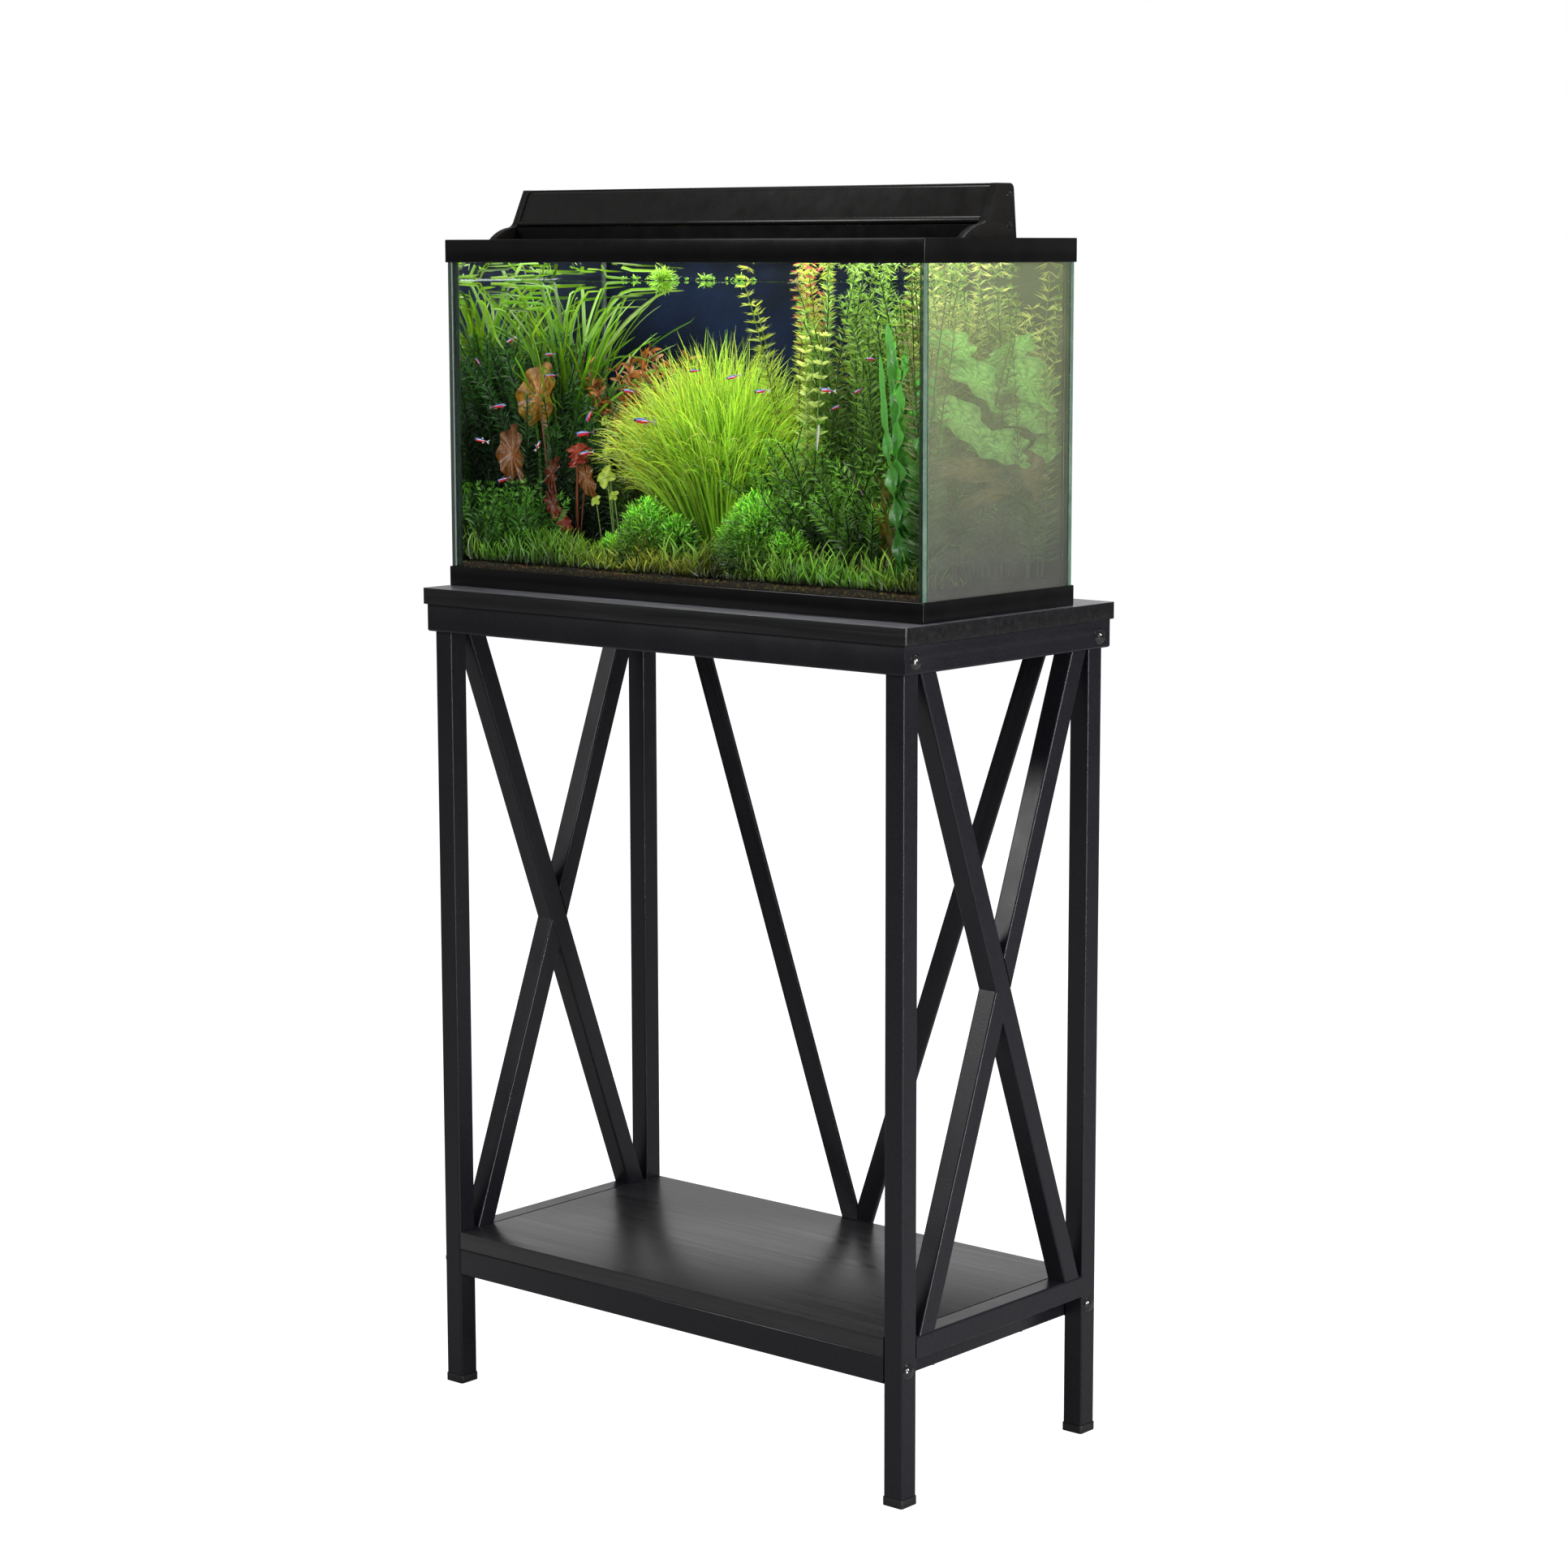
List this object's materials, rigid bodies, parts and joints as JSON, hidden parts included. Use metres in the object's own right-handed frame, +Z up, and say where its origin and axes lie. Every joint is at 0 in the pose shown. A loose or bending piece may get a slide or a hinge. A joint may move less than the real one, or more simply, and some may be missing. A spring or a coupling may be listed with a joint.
{
  "type": "aquarium on stand",
  "caption": "Glass aquarium with planting and a light hood, standing on a tall black steel stand with X-braced sides, a V-braced back and a lower shelf.",
  "frame": {"origin": "centre of the footprint, on the floor under the four feet", "axes": "+X to the right along the tank, +Y to the back, +Z up"},
  "size_m": [0.5416, 0.28, 1.059],
  "materials": {
    "powder_steel": "fine-textured black powder coat, satin",
    "board": "black wood-grain board, satin",
    "foot_plastic": "matte black",
    "black_bolt": "glossy black",
    "zinc": "bright zinc plate",
    "frame_plastic": "glossy black",
    "glass": "clear, greenish at the edges",
    "silicone": "translucent dark",
    "dark_film": "dark navy film",
    "soil": "fine brown grains",
    "plant_green": "leafy green",
    "grass_green": "bright yellow-green",
    "hood_plastic": "fine-textured black, satin",
    "white_paint": "gloss white",
    "led_white": "white solder mask",
    "lens_clear": "clear, polished",
    "driver_plastic": "matte black",
    "switch_plastic": "satin black"
  },
  "bodies": {
    "stand": {"top_board": "board", "apron_front": "powder_steel", "apron_back": "powder_steel", "apron_left": "powder_steel", "apron_right": "powder_steel", "leg_front_left": "powder_steel", "leg_front_right": "powder_steel", "leg_back_left": "powder_steel", "leg_back_right": "powder_steel", "upper_rail_left": "powder_steel", "upper_rail_right": "powder_steel", "lower_rail_left": "powder_steel", "lower_rail_right": "powder_steel", "brace_left_through": "powder_steel", "brace_left_upper": "powder_steel", "brace_left_lower": "powder_steel", "brace_right_through": "powder_steel", "brace_right_upper": "powder_steel", "brace_right_lower": "powder_steel", "back_strap_left": "powder_steel", "back_strap_right": "powder_steel", "shelf_board": "board", "shelf_rail_front": "powder_steel", "shelf_rail_back": "powder_steel", "shelf_rail_left": "powder_steel", "shelf_rail_right": "powder_steel", "foot_caps": "foot_plastic", "top_bolts": "black_bolt", "shelf_bolts": "black_bolt", "frame_nuts": "zinc", "wood_screws": "zinc", "strap_screws": "black_bolt", "tank_base_frame": "frame_plastic", "tank_top_rim": "frame_plastic", "glass_front": "glass", "glass_back": "glass", "glass_left": "glass", "glass_right": "glass", "glass_bottom": "glass", "silicone_seams": "silicone", "background_sheet": "dark_film", "soil_bed": "soil", "plants_left": "plant_green", "plants_center": "grass_green", "plants_right": "plant_green", "plants_front": "plant_green"},
    "hood": {"hood_deck": "hood_plastic", "hood_cover": "hood_plastic", "hood_end_left": "hood_plastic", "hood_end_right": "hood_plastic", "flap_pins": "zinc", "led_reflector": "white_paint", "led_board": "led_white", "lamp_lens": "lens_clear", "led_driver": "driver_plastic", "switch_body": "switch_plastic", "power_inlet": "switch_plastic", "hood_screws": "black_bolt"},
    "flap": {"front_flap": "hood_plastic"},
    "rocker": {"switch_rocker": "switch_plastic"}
  },
  "joints": [
    {"name": "hood_lift", "type": "slide", "parent": "stand", "child": "hood", "axis": [0, 0, 1], "range_m": [0, 0.2]},
    {"name": "flap_hinge", "type": "hinge", "parent": "hood", "child": "flap", "pos_m": [0, -0.01083, 1.05419], "axis": [-1, 0, 0], "range_deg": [0, 100]},
    {"name": "switch_rock", "type": "hinge", "parent": "hood", "child": "rocker", "pos_m": [-0.208, 0.009, 1.034], "axis": [-1, 0, 0], "range_deg": [0, 18]}
  ]
}
